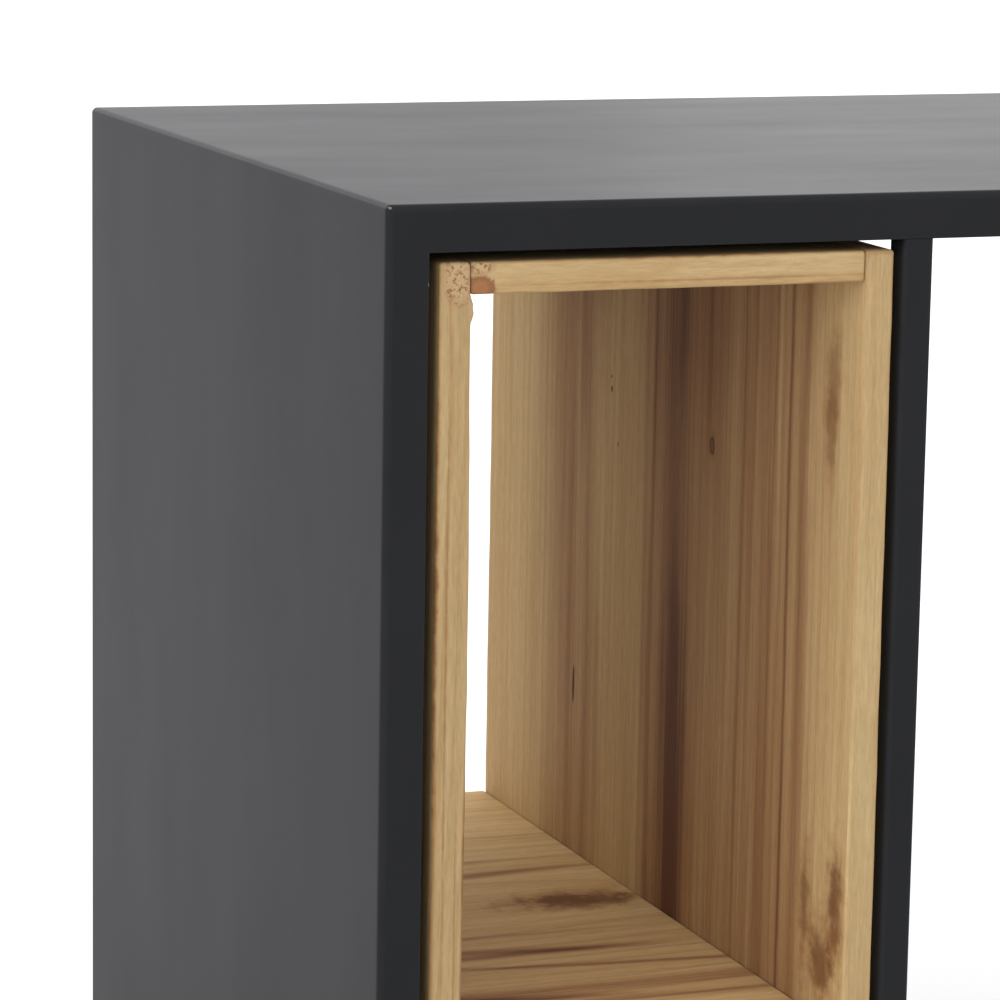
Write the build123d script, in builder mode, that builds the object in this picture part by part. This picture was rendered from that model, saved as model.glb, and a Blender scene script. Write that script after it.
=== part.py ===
from build123d import *
import math
import os

# Desk hutch: a sheet-steel bridge with a narrow bay at each end and a wide open
# bay between them. Each narrow bay holds a loose wooden box, open front and back,
# on rails that leave a slot under it.
# Millimetres. +X to the right, -Y towards the front, +Z up.
# Origin: centre of the footprint, on the surface that the feet stand on.

# Overall sizes
overall_width = 1000.0
overall_depth = 320.0
overall_height = 335.0

# Hollow panels of folded sheet
top_thickness = 14.0
side_thickness = 13.0
sheet = 1.2
bend_radius = 2.0

# Welded tubes
post_size = 10.0
post_wall = 1.0
post_corner = 1.0
bay_width = 150.0
slot_height = 52.0
base_rail_height = 15.0
base_rail_depth = 15.0
base_rail_wall = 1.2
tube_gap = 0.3
stiffener_width = 32.0
stiffener_flange = 9.0

# Feet
foot_height = 3.0
glide_radius = 5.0
glide_stem_radius = 2.0
glide_stem_length = 5.0
plug_length = 9.0
plug_clearance = 0.1

# Wooden boxes
board = 9.5
board_edge_break = 0.8
outer_gap = 3.6
inner_gap = 2.4
top_gap = 3.1
slide_clearance = 0.3
front_recess = 1.0
back_recess = 4.0

# Screws through the side boards into the ends of the top and bottom boards
screw_radius = 1.75
screw_length = 30.0
screw_head_radius = 3.5
screw_head_angle = 90.0
screw_clearance = 0.05
screw_recess_length = 3.6
screw_recess_width = 0.8
screw_recess_depth = 1.2
screw_point = 4.0
screw_inset = 40.0
screws_per_joint = 3

# Places worked out from the sizes above
front = -overall_depth / 2
back = overall_depth / 2
top_underside = overall_height - top_thickness
base_top = slot_height + base_rail_height
bay_outer = overall_width / 2 - side_thickness
bay_inner = bay_outer - bay_width
post_x = bay_inner - post_size / 2
top_tube_size = top_thickness - 2 * sheet - 2 * tube_gap
side_tube_size = side_thickness - 2 * sheet - 2 * tube_gap
top_tube_bottom = top_underside + sheet + tube_gap
corner_tube_x = bay_outer + sheet + tube_gap + side_tube_size / 2
corner_tube_y = back - sheet - tube_gap - side_tube_size / 2

box_width = bay_width - outer_gap - inner_gap
box_left = bay_inner + inner_gap
box_right = bay_outer - outer_gap
box_bottom = base_top + slide_clearance
box_top = top_underside - top_gap
box_front = front + front_recess
box_back = back - back_recess
box_depth = box_back - box_front
box_mid_y = (box_front + box_back) / 2
box_mid_z = (box_bottom + box_top) / 2
shelf_heights = (("bottom_board", box_bottom + board / 2), ("top_board", box_top - board / 2))

os.makedirs("parts", exist_ok=True)


def save(part, name):
    """Label a finished piece and write it to its own file."""
    part.label = name
    export_step(part, f"parts/{name}.step")


def save_pair(part, name):
    """Write the right-hand piece, and its mirror image as the left-hand one."""
    save(part, f"right_{name}")
    save(mirror(part, about=Plane.YZ), f"left_{name}")


def corner_cut(right):
    """Plane of the mitre between the top and one side panel.

    It runs from the outer top edge to the inner corner, and its normal points
    up and away from the side panel.
    """
    sign = 1 if right else -1
    edge = Vector(sign * overall_width / 2, 0, overall_height)
    slope = Vector(sign * side_thickness, 0, top_thickness)
    normal = Vector(-sign * slope.Z, 0, abs(slope.X))
    return Plane(origin=edge, x_dir=slope, z_dir=normal)


def square_tube(width, height, wall, corner, length, plane):
    """Tube of a rounded rectangular section, drawn on a plane and run along its normal."""
    with BuildPart() as tube:
        with BuildSketch(plane):
            RectangleRounded(width, height, corner)
            with BuildSketch(plane, mode=Mode.SUBTRACT):
                Rectangle(width - 2 * wall, height - 2 * wall)
        extrude(amount=length)
    return tube.part


# Top panel: a pan of folded sheet, open below, its long edges bent down
with BuildPart() as top_panel:
    with BuildSketch(Plane.YZ.offset(-overall_width / 2)):
        with Locations((0, overall_height - top_thickness / 2)):
            outline = Rectangle(overall_depth, top_thickness)
        fillet(outline.vertices().group_by(Axis.Y)[-1], bend_radius)
        with Locations((0, top_underside + (top_thickness - sheet) / 2)):
            Rectangle(overall_depth - 2 * sheet, top_thickness - sheet, mode=Mode.SUBTRACT)
    extrude(amount=overall_width)
    split(bisect_by=corner_cut(True), keep=Keep.TOP)
    split(bisect_by=corner_cut(False), keep=Keep.TOP)
save(top_panel.part, "top_panel")

# Flat sheet that closes the underside of the top panel
liner_half = bay_outer + sheet
with BuildPart() as top_liner:
    with BuildSketch(Plane.XY.offset(top_underside)):
        Rectangle(2 * liner_half, overall_depth - 2 * sheet)
    extrude(amount=sheet)
save(top_liner.part, "top_liner")

# Side panel: a pan of folded sheet, open inwards, with holes for its two glides
side_panel_x = bay_outer + side_thickness / 2
with BuildPart() as side_panel:
    with BuildSketch(Plane.XY.offset(foot_height)):
        with Locations((side_panel_x, 0)):
            outline = Rectangle(side_thickness, overall_depth)
        fillet(outline.vertices().group_by(Axis.X)[-1], bend_radius)
    extrude(amount=overall_height - foot_height)
    with BuildSketch(Plane.XY.offset(foot_height + sheet)):
        with Locations((side_panel_x - sheet / 2, 0)):
            Rectangle(side_thickness - sheet, overall_depth - 2 * sheet)
    extrude(amount=overall_height, mode=Mode.SUBTRACT)
    with BuildSketch(Plane.XY.offset(foot_height)):
        with Locations((corner_tube_x, -corner_tube_y), (corner_tube_x, corner_tube_y)):
            Circle(glide_stem_radius + plug_clearance)
    extrude(amount=sheet, mode=Mode.SUBTRACT)
    split(bisect_by=corner_cut(True), keep=Keep.BOTTOM)
save_pair(side_panel.part, "side_panel")

# Flat sheet that closes the inner face of the side panel
with BuildPart() as side_liner:
    with BuildSketch(Plane.XY.offset(foot_height + sheet)):
        with Locations((bay_outer + sheet / 2, 0)):
            Rectangle(sheet, overall_depth - 2 * sheet)
    extrude(amount=top_underside - foot_height - sheet)
save_pair(side_liner.part, "side_liner")

# Tubes inside the top panel, along its front and back edges
top_tube_half = overall_width / 2 - sheet - tube_gap - top_tube_size
top_tube_z = top_tube_bottom + top_tube_size / 2
top_tube_y = front + sheet + tube_gap + top_tube_size / 2
for name, y in (("top_front_tube", top_tube_y), ("top_rear_tube", -top_tube_y)):
    tube_start = Plane(origin=(-top_tube_half, y, top_tube_z), x_dir=(0, 1, 0), z_dir=(1, 0, 0))
    tube = square_tube(top_tube_size, top_tube_size, post_wall, post_corner, 2 * top_tube_half, tube_start)
    save(tube, name)

# Hat-shaped channels of folded sheet that stiffen the top panel between those tubes
stiffener_half = -top_tube_y - top_tube_size / 2
flange_x = (stiffener_width + stiffener_flange - sheet) / 2
flange_z = top_tube_bottom + sheet / 2
for name, x in (("left_stiffener", -post_x), ("middle_stiffener", 0), ("right_stiffener", post_x)):
    with BuildPart() as stiffener:
        with BuildSketch(Plane.XZ.offset(-stiffener_half)):
            with Locations((x, top_tube_z)):
                Rectangle(stiffener_width, top_tube_size)
            with Locations((x, top_tube_z - sheet)):
                Rectangle(stiffener_width - 2 * sheet, top_tube_size, mode=Mode.SUBTRACT)
            with Locations((x - flange_x, flange_z), (x + flange_x, flange_z)):
                Rectangle(stiffener_flange + sheet, sheet)
        extrude(amount=2 * stiffener_half)
    save(stiffener.part, name)

# Tubes inside the side panels, at their front and back edges
corner_tube_bottom = foot_height + sheet
for name, y in (("front_corner_tube", -corner_tube_y), ("rear_corner_tube", corner_tube_y)):
    tube = square_tube(
        side_tube_size,
        side_tube_size,
        post_wall,
        post_corner,
        top_underside - corner_tube_bottom,
        Plane(origin=(corner_tube_x, y, corner_tube_bottom)),
    )
    save_pair(tube, name)

# Posts between the narrow bays and the open one
post_y = back - post_size / 2
for name, y in (("front_post", -post_y), ("rear_post", post_y)):
    post = square_tube(
        post_size,
        post_size,
        post_wall,
        post_corner,
        top_underside - foot_height,
        Plane(origin=(post_x, y, foot_height)),
    )
    save_pair(post, name)

# Base rails, which carry the wooden box, from the side panel to each post
rail_y = back - base_rail_depth / 2
rail_z = slot_height + base_rail_height / 2
for name, y in (("front_base_rail", -rail_y), ("rear_base_rail", rail_y)):
    rail_start = Plane(origin=(bay_inner, y, rail_z), x_dir=(0, 1, 0), z_dir=(1, 0, 0))
    rail = square_tube(base_rail_depth, base_rail_height, base_rail_wall, post_corner, bay_width, rail_start)
    save_pair(rail, name)

# Rail along the inner side of each narrow bay, from the front post to the rear one
side_rail_length = overall_depth - 2 * post_size
side_rail_start = Plane(origin=(post_x, -side_rail_length / 2, rail_z), x_dir=(-1, 0, 0), z_dir=(0, 1, 0))
save_pair(
    square_tube(post_size, base_rail_height, post_wall, post_corner, side_rail_length, side_rail_start),
    "side_base_rail",
)

# Round glides pushed into the bottoms of the side panels
with BuildPart() as side_glides:
    for side in (-1, 1):
        for end in (-1, 1):
            with Locations((side * corner_tube_x, end * corner_tube_y, 0)):
                Cylinder(glide_radius, foot_height, align=(Align.CENTER, Align.CENTER, Align.MIN))
            with Locations((side * corner_tube_x, end * corner_tube_y, foot_height)):
                Cylinder(glide_stem_radius, glide_stem_length, align=(Align.CENTER, Align.CENTER, Align.MIN))
    chamfer(side_glides.edges().filter_by(GeomType.CIRCLE).group_by(Axis.Z)[0], foot_height / 4)
save(side_glides.part, "side_glides")

# Square plugs pushed into the bottoms of the posts, with heads that are their feet
plug_stem = post_size - 2 * post_wall - 2 * plug_clearance
with BuildPart() as post_plugs:
    for side in (-1, 1):
        for end in (-1, 1):
            with Locations((side * post_x, end * post_y, 0)):
                Box(post_size, post_size, foot_height, align=(Align.CENTER, Align.CENTER, Align.MIN))
            with Locations((side * post_x, end * post_y, foot_height)):
                Box(plug_stem, plug_stem, plug_length, align=(Align.CENTER, Align.CENTER, Align.MIN))
    chamfer(post_plugs.faces().group_by(Axis.Z)[0].edges(), foot_height / 4)
save(post_plugs.part, "post_plugs")

# Screws stand in rows along the depth, one row at each end of the top and bottom boards
screw_span = box_depth - 2 * screw_inset
screw_step = screw_span / (screws_per_joint - 1)
screw_rows = [box_mid_y - screw_span / 2 + number * screw_step for number in range(screws_per_joint)]
side_boards = (("inner_side_board", box_left, -1), ("outer_side_board", box_right, 1))


def screw_places(face_x, outward, heights):
    """Locations on a face across the box, one for each screw, with their Z axes pointing out of it."""
    face = Plane(origin=(face_x, 0, 0), x_dir=(0, outward, 0), z_dir=(outward, 0, 0))
    return [face.location * Pos(outward * y, z, 0) for y in screw_rows for z in heights]


# Side boards of the wooden box, the full height of it, with countersunk screw holes
shelf_middles = [height for name, height in shelf_heights]
for name, face_x, outward in side_boards:
    with BuildPart() as side_board:
        with Locations((face_x - outward * board / 2, box_mid_y, box_mid_z)):
            Box(board, box_depth, box_top - box_bottom)
        chamfer(side_board.edges().filter_by(Axis.X, reverse=True), board_edge_break)
        with Locations(*screw_places(face_x, outward, shelf_middles)):
            CounterSinkHole(
                screw_radius + screw_clearance,
                screw_head_radius + screw_clearance,
                depth=board,
                counter_sink_angle=screw_head_angle,
            )
    save_pair(side_board.part, f"box_{name}")

# Top and bottom boards of the wooden box, between the side boards
for name, height in shelf_heights:
    with BuildPart() as shelf:
        with Locations(((box_left + box_right) / 2, box_mid_y, height)):
            Box(box_width - 2 * board, box_depth, board)
        chamfer(shelf.edges().filter_by(Axis.X), board_edge_break)
        for end_x, outward in ((box_left + board, -1), (box_right - board, 1)):
            with Locations(*screw_places(end_x, outward, [height])):
                Hole(screw_radius + screw_clearance, depth=screw_length - board + screw_clearance)
    save_pair(shelf.part, f"box_{name}")

# Countersunk screw, drawn as half its section and turned about its own axis
screw_head_height = (screw_head_radius - screw_radius) / math.tan(math.radians(screw_head_angle / 2))
with BuildPart() as screw:
    with BuildSketch(Plane.XZ):
        with BuildLine():
            Polyline(
                (0, 0),
                (screw_head_radius, 0),
                (screw_radius, -screw_head_height),
                (screw_radius, screw_point - screw_length),
                (0, -screw_length),
                close=True,
            )
        make_face()
    revolve(axis=Axis.Z)
    with BuildSketch():
        Rectangle(screw_recess_length, screw_recess_width)
        Rectangle(screw_recess_width, screw_recess_length)
    extrude(amount=-screw_recess_depth, mode=Mode.SUBTRACT)

# All the screws of one box
with BuildPart() as box_screws:
    for name, face_x, outward in side_boards:
        for place in screw_places(face_x, outward, shelf_middles):
            add(place * screw.part)
save_pair(box_screws.part, "box_screws")
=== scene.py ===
"""A desk hutch: painted steel skins and tubes, and toasted fir boxes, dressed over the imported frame."""

import logging
import math
from dataclasses import dataclass, field
from enum import Enum
from functools import reduce

import bpy
import numpy as np
from mathutils import Matrix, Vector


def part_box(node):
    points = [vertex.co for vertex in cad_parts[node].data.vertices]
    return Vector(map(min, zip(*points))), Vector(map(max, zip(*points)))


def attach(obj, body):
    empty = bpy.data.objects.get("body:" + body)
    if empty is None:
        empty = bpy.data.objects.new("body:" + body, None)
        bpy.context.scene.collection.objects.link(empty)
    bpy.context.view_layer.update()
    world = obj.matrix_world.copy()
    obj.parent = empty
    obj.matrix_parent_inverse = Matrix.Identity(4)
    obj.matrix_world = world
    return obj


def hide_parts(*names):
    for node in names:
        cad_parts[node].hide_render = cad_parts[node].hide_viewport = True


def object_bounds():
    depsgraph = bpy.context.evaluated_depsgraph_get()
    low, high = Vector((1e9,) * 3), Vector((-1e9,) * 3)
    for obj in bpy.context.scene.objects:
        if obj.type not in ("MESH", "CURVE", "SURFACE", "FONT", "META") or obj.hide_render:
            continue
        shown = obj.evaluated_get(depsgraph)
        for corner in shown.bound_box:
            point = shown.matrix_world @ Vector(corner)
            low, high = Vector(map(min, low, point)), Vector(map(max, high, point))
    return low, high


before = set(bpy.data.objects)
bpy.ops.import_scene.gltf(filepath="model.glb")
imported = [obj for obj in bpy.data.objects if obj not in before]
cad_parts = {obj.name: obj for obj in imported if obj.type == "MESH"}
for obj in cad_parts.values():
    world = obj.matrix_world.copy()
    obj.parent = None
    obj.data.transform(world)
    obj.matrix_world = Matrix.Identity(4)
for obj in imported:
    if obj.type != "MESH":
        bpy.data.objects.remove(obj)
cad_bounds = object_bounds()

MM = 0.001
SIDES = ("left", "right")
GRAIN_ACROSS, GRAIN_UP = 0, 2
Socket = bpy.types.NodeSocket
Node = bpy.types.Node
Point = tuple[float, float, float]
Colour = tuple[float, float, float, float]
log = logging.getLogger("desk_hutch")


class Effect(Enum):
    """The node groups that more than one finish uses."""

    POWDER_COAT = "powder_coat"
    EDGE_WEAR = "edge_wear"
    HANDLING = "handling_marks"
    TIMBER = "toasted_timber"
    SPOT = "ragged_spot"


# ---------------------------------------------------------------- node helpers


class Bench:
    """Lays nodes in one node tree and joins them, so that a finish reads as a formula."""

    def __init__(self, tree: bpy.types.NodeTree) -> None:
        """Keeps the tree that the nodes go in."""
        self.tree = tree

    def node(self, kind: str, **settings: object) -> Node:
        """Adds a node.

        Args:
            kind: the node's type name.
            settings: the node's properties.
        Returns:
            The new node.
        """
        new = self.tree.nodes.new(kind)
        for name, value in settings.items():
            setattr(new, name, value)
        return new

    def feed(self, target: Socket, source: object) -> None:
        """Joins a socket to target, or sets target's own value.

        Args:
            target: the socket that takes the value.
            source: an output socket, a number or a colour.
        """
        if isinstance(source, Socket):
            self.tree.links.new(source, target)
        else:
            target.default_value = source

    def maths(self, operation: str, *terms: object, clamp: bool = False) -> Socket:
        """One Math node.

        Args:
            operation: the operation's name, such as POWER.
            terms: its inputs, in order.
            clamp: whether the result stays between 0 and 1.
        Returns:
            The result's socket.
        """
        new = self.node("ShaderNodeMath", operation=operation, use_clamp=clamp)
        for target, term in zip(new.inputs, terms, strict=False):
            self.feed(target, term)
        return new.outputs[0]

    def times(self, *terms: object) -> Socket:
        """The product of the terms."""
        return reduce(lambda total, term: self.maths("MULTIPLY", total, term), terms)

    def plus(self, *terms: object) -> Socket:
        """The sum of the terms."""
        return reduce(lambda total, term: self.maths("ADD", total, term), terms)

    def minus(self, first: object, second: object) -> Socket:
        """The first term less the second."""
        return self.maths("SUBTRACT", first, second)

    def vector(self, operation: str, first: object, second: object) -> Socket:
        """One Vector Math node, such as MULTIPLY, which works axis by axis.

        Args:
            operation: the operation's name.
            first: its first vector.
            second: its second vector.
        Returns:
            The new vector's socket.
        """
        new = self.node("ShaderNodeVectorMath", operation=operation)
        self.feed(new.inputs[0], first)
        self.feed(new.inputs[1], second)
        return new.outputs[0]

    def noise(self, place: Socket, scale: object, detail: float = 2.0, rough: float = 0.5) -> Socket:
        """Fractal noise from 0 to 1.

        Args:
            place: where it is read.
            scale: its frequency, per metre.
            detail: its octaves.
            rough: how strong the fine octaves are.
        Returns:
            The noise's socket.
        """
        new = self.node("ShaderNodeTexNoise")
        values = {"Vector": place, "Scale": scale, "Detail": detail, "Roughness": rough}
        for name, source in values.items():
            self.feed(new.inputs[name], source)
        return new.outputs["Fac"]

    def streaks(
        self, grain: Socket, along: float, across: float, detail: float = 2.0, rough: float = 0.5
    ) -> Socket:
        """Noise drawn out along a board's grain.

        Args:
            grain: the place in the board.
            along: its frequency along the grain, per metre.
            across: its frequency across the grain, per metre.
            detail: its octaves.
            rough: how strong the fine octaves are.
        Returns:
            The noise's socket, from 0 to 1.
        """
        return self.noise(self.vector("MULTIPLY", grain, (along, across, across)), 1.0, detail, rough)

    def step(self, value: object, low: object, high: object) -> Socket:
        """A smooth step from 0 at low to 1 at high.

        Args:
            value: what is stepped.
            low: where the step starts.
            high: where it ends.
        Returns:
            The step's socket.
        """
        new = self.node("ShaderNodeMapRange", interpolation_type="SMOOTHSTEP")
        for name, source in (("Value", value), ("From Min", low), ("From Max", high)):
            self.feed(new.inputs[name], source)
        return new.outputs[0]

    def blend(self, factor: object, first: object, second: object, kind: str = "MIX") -> Socket:
        """Two colours mixed.

        Args:
            factor: 0 gives first and 1 gives second.
            first: the first colour.
            second: the second colour.
            kind: the blend mode.
        Returns:
            The mixed colour's socket.
        """
        new = self.node("ShaderNodeMix", data_type="RGBA", blend_type=kind, clamp_factor=True)
        factor_socket, first_colour, second_colour, mixed_colour = 0, 6, 7, 2
        self.feed(new.inputs[factor_socket], factor)
        self.feed(new.inputs[first_colour], first)
        self.feed(new.inputs[second_colour], second)
        return new.outputs[mixed_colour]

    def attribute(self, name: str, output: str) -> Socket:
        """The socket of a value that the mesh carries, such as Fac or Vector of an attribute."""
        return self.node("ShaderNodeAttribute", attribute_name=name).outputs[output]

    def place(self, effect: Effect, **values: object) -> Node:
        """Places an effect's node group.

        Args:
            effect: which effect.
            values: its inputs, with underscores for the spaces in their names.
        Returns:
            The group's node.
        """
        new = self.node("ShaderNodeGroup", node_tree=bpy.data.node_groups[effect.value])
        for label, value in values.items():
            self.feed(new.inputs[label.replace("_", " ")], value)
        return new


def new_group(effect: Effect, inputs: dict[str, object], *outputs: str) -> tuple[Bench, dict, dict]:
    """Starts an effect's shader node group.

    Args:
        effect: which effect.
        inputs: each input's name, with a number for a value, three for a vector and four for a colour.
        outputs: each output's name. Color is a colour and every other one is a value.
    Returns:
        The bench to build on, the inputs' sockets by name and the outputs' sockets by name.
    """
    tree = bpy.data.node_groups.new(effect.value, "ShaderNodeTree")
    for label, value in inputs.items():
        size = len(value) if isinstance(value, tuple) else 1
        kind = {1: "NodeSocketFloat", 3: "NodeSocketVector", 4: "NodeSocketColor"}[size]
        tree.interface.new_socket(label, in_out="INPUT", socket_type=kind).default_value = value
    for label in outputs:
        kind = "NodeSocketColor" if label == "Color" else "NodeSocketFloat"
        tree.interface.new_socket(label, in_out="OUTPUT", socket_type=kind)
    bench = Bench(tree)
    entry = bench.node("NodeGroupInput")
    leave = bench.node("NodeGroupOutput")
    return bench, {n: entry.outputs[n] for n in inputs}, {n: leave.inputs[n] for n in outputs}


# ---------------------------------------------------------------- shared effects


def build_powder_coat() -> None:
    """Skin of baked powder: a fine orange peel, over the slow waves of thin sheet."""
    bench, given, out = new_group(
        Effect.POWDER_COAT, {"Place": (0.0, 0.0, 0.0), "Peel": 1.0, "Wave": 1.0}, "Height", "Patch"
    )
    peel_height, wave_height = 0.010 * MM, 0.9 * MM
    peel = bench.times(bench.noise(given["Place"], 1300.0, 3.0, 0.55), given["Peel"], peel_height)
    wave = bench.times(bench.noise(given["Place"], 7.0, 1.0, 0.4), given["Wave"], wave_height)
    bench.feed(out["Height"], bench.plus(peel, wave))
    bench.feed(out["Patch"], bench.noise(given["Place"], 22.0, 4.0, 0.6))


def build_edge_wear() -> None:
    """Rubs along edges: a patchy mask where the mesh says that an edge is close."""
    bench, given, out = new_group(
        Effect.EDGE_WEAR, {"Place": (0.0, 0.0, 0.0), "Edge": 0.0, "Amount": 0.5}, "Rub"
    )
    broad = bench.noise(given["Place"], 60.0, 3.0, 0.6)
    fine = bench.noise(given["Place"], 700.0, 2.0, 0.6)
    patchy = bench.plus(broad, bench.times(fine, 0.3), bench.times(given["Amount"], 0.3))
    bench.feed(out["Rub"], bench.step(bench.times(given["Edge"], patchy), 0.50, 0.95))


def build_spot() -> None:
    """An ellipsoid with a ragged rim: 1 inside and 0 outside.

    The distance from Centre is measured in units of Reach, axis by axis, and fine noise pushes the rim
    in and out by Ragged.
    """
    bench, given, out = new_group(
        Effect.SPOT,
        {
            "Place": (0.0, 0.0, 0.0),
            "Centre": (0.0, 0.0, 0.0),
            "Reach": (1.0, 1.0, 1.0),
            "Ragged": 0.3,
            "Grit": 900.0,
        },
        "Mask",
        "Away",
    )
    away = bench.vector("SUBTRACT", given["Place"], given["Centre"])
    length = bench.node("ShaderNodeVectorMath", operation="LENGTH")
    bench.feed(length.inputs[0], bench.vector("DIVIDE", away, given["Reach"]))
    push = bench.minus(bench.noise(given["Place"], given["Grit"], 3.0, 0.65), 0.5)
    rim = bench.plus(length.outputs["Value"], bench.times(push, given["Ragged"]))
    bench.feed(out["Away"], rim)
    bench.feed(out["Mask"], bench.minus(1.0, bench.step(rim, 0.78, 1.05)))


def build_handling() -> None:
    """Faint wiped smears and settled dust, as a small change of roughness."""
    bench, given, out = new_group(
        Effect.HANDLING, {"Place": (0.0, 0.0, 0.0), "Strength": 1.0}, "Rough Shift"
    )
    wiped = bench.vector("MULTIPLY", given["Place"], (9.0, 30.0, 9.0))
    smear = bench.minus(bench.noise(wiped, 1.0, 5.0, 0.62), 0.5)
    bench.feed(out["Rough Shift"], bench.times(smear, given["Strength"]))


def build_timber() -> None:
    """Softwood cut from a log and toasted with a flame.

    Grain is a place in the board: x along the grain, y across the board and z through it. The growth
    rings are shells round the pith, which lies Pith Across and Pith Depth away from the board's middle
    and leans by Slope. Each ring darkens slowly and ends sharply. Char browns the wood, first to
    chestnut and then to near black, in streaks that follow the fibres.
    """
    bench, given, out = new_group(
        Effect.TIMBER,
        {
            "Grain": (0.0, 0.0, 0.0),
            "Seed": (0.0, 0.0, 0.0),
            "Char": 0.0,
            "Edge": 0.0,
            "End": 0.0,
            "Ring": 0.0032,
            "Pith Across": 0.0,
            "Pith Depth": 0.05,
            "Slope": 0.02,
            "Wander": 1.0,
            "Scorch": 0.3,
            "Contrast": 0.40,
            "Tone": 1.0,
            "Pale": (0.408, 0.296, 0.150, 1.0),
            "Late": (0.290, 0.170, 0.066, 1.0),
            "Chestnut": (0.222, 0.116, 0.052, 1.0),
            "Burnt": (0.080, 0.032, 0.016, 1.0),
        },
        "Color",
        "Roughness",
        "Height",
    )
    roam_reach, ripple_reach = 16 * MM, 1 * MM
    ridge_height, pore_height = 0.04 * MM, 0.045 * MM
    grain = bench.vector("ADD", given["Grain"], given["Seed"])
    parts = bench.node("ShaderNodeSeparateXYZ")
    bench.feed(parts.inputs[0], given["Grain"])
    along, across, through = parts.outputs
    aside = bench.minus(across, given["Pith Across"])
    below = bench.minus(through, given["Pith Depth"])
    radius = bench.maths("SQRT", bench.plus(bench.times(aside, aside), bench.times(below, below)))
    lean = bench.times(along, given["Slope"])
    roam = bench.times(bench.minus(bench.streaks(grain, 4.0, 9.0), 0.5), roam_reach, given["Wander"])
    ripple = bench.times(bench.minus(bench.streaks(grain, 18.0, 160.0), 0.5), ripple_reach)
    phase = bench.maths("DIVIDE", bench.plus(radius, lean, roam, ripple), given["Ring"])
    weather = bench.node("ShaderNodeTexWhiteNoise", noise_dimensions="1D")
    bench.feed(weather.inputs["W"], bench.maths("FLOOR", phase))
    strength = bench.plus(0.15, bench.times(weather.outputs["Value"], 0.85))
    age = bench.maths("FRACT", phase)
    rise = bench.step(age, 0.45, 0.94)
    fall = bench.minus(1.0, bench.step(age, 0.94, 1.0))
    late = bench.times(rise, fall, strength)

    fibre = bench.streaks(grain, 30.0, 1100.0, 3.0, 0.65)
    streak = bench.streaks(grain, 5.0, 70.0, 4.0, 0.62)
    lines = bench.streaks(grain, 5.0, 420.0, 3.0, 0.6)
    cloud = bench.streaks(grain, 5.0, 16.0, 3.0, 0.55)
    speck = bench.streaks(grain, 900.0, 1500.0, 2.0, 0.6)
    sand = bench.streaks(grain, 150.0, 1300.0, 3.0, 0.7)

    own = bench.times(bench.step(cloud, 0.45, 0.80), given["Scorch"])
    driven = bench.times(given["Char"], bench.plus(0.10, streak, bench.times(lines, 0.8)))
    char = bench.maths("ADD", own, driven, clamp=True)

    mixed = bench.plus(bench.times(streak, 0.6), bench.times(lines, 0.4))
    drift = bench.times(bench.step(mixed, 0.32, 0.68), 0.55)
    sooty = bench.times(bench.step(speck, 0.60, 0.72), bench.plus(0.05, bench.times(char, 0.30)))
    singed = bench.times(bench.step(bench.times(given["Edge"], cloud), 0.36, 0.58), 0.75)
    colour = given["Pale"]
    for cover, stain in (
        (drift, "Late"),
        (bench.times(late, given["Contrast"]), "Late"),
        (bench.times(bench.step(char, 0.0, 0.62), 0.90), "Chestnut"),
        (bench.times(bench.step(char, 0.48, 1.05), 0.92), "Burnt"),
        (bench.times(late, char, 0.35), "Burnt"),
        (sooty, "Burnt"),
        (singed, "Chestnut"),
        (bench.times(given["End"], 0.40), "Late"),
    ):
        colour = bench.blend(cover, colour, given[stain])
    gritty = bench.times(bench.minus(sand, 0.5), 0.55)
    # Tone scales the whole colour; the boards pass their painted light in through it.
    toned = bench.times(bench.plus(0.88, gritty, bench.times(fibre, 0.24)), given["Tone"])
    shade = bench.node("ShaderNodeCombineColor")
    for target in shade.inputs:
        bench.feed(target, toned)
    bench.feed(out["Color"], bench.blend(1.0, colour, shade.outputs[0], "MULTIPLY"))

    rough = bench.plus(0.60, bench.times(fibre, 0.18))
    bench.feed(out["Roughness"], bench.minus(rough, bench.times(late, 0.08)))
    ridges, pores = bench.times(late, ridge_height), bench.times(fibre, pore_height)
    bench.feed(out["Height"], bench.plus(ridges, pores))


# ---------------------------------------------------------------- finishes


def new_material(name: str) -> tuple[bpy.types.Material, Bench, Node]:
    """Starts a material.

    Args:
        name: the material's name.
    Returns:
        The material, its bench and its Principled BSDF node.
    """
    material = bpy.data.materials.new(name)
    material.use_nodes = True
    bench = Bench(material.node_tree)
    return material, bench, material.node_tree.nodes["Principled BSDF"]


def bumped(bench: Bench, shader: Node, height: Socket) -> None:
    """Feeds a height in metres to a shader's normal.

    Args:
        bench: the material's bench.
        shader: its Principled BSDF.
        height: the height's socket.
    """
    bump = bench.node("ShaderNodeBump")
    bump.inputs["Strength"].default_value = 1.0
    bump.inputs["Distance"].default_value = 1.0
    bench.feed(bump.inputs["Height"], height)
    bench.feed(shader.inputs["Normal"], bump.outputs[0])


@dataclass(frozen=True)
class Nick:
    """A chip in the paint, by its middle and its reach, in metres."""

    centre: Point
    reach: Point


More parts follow.
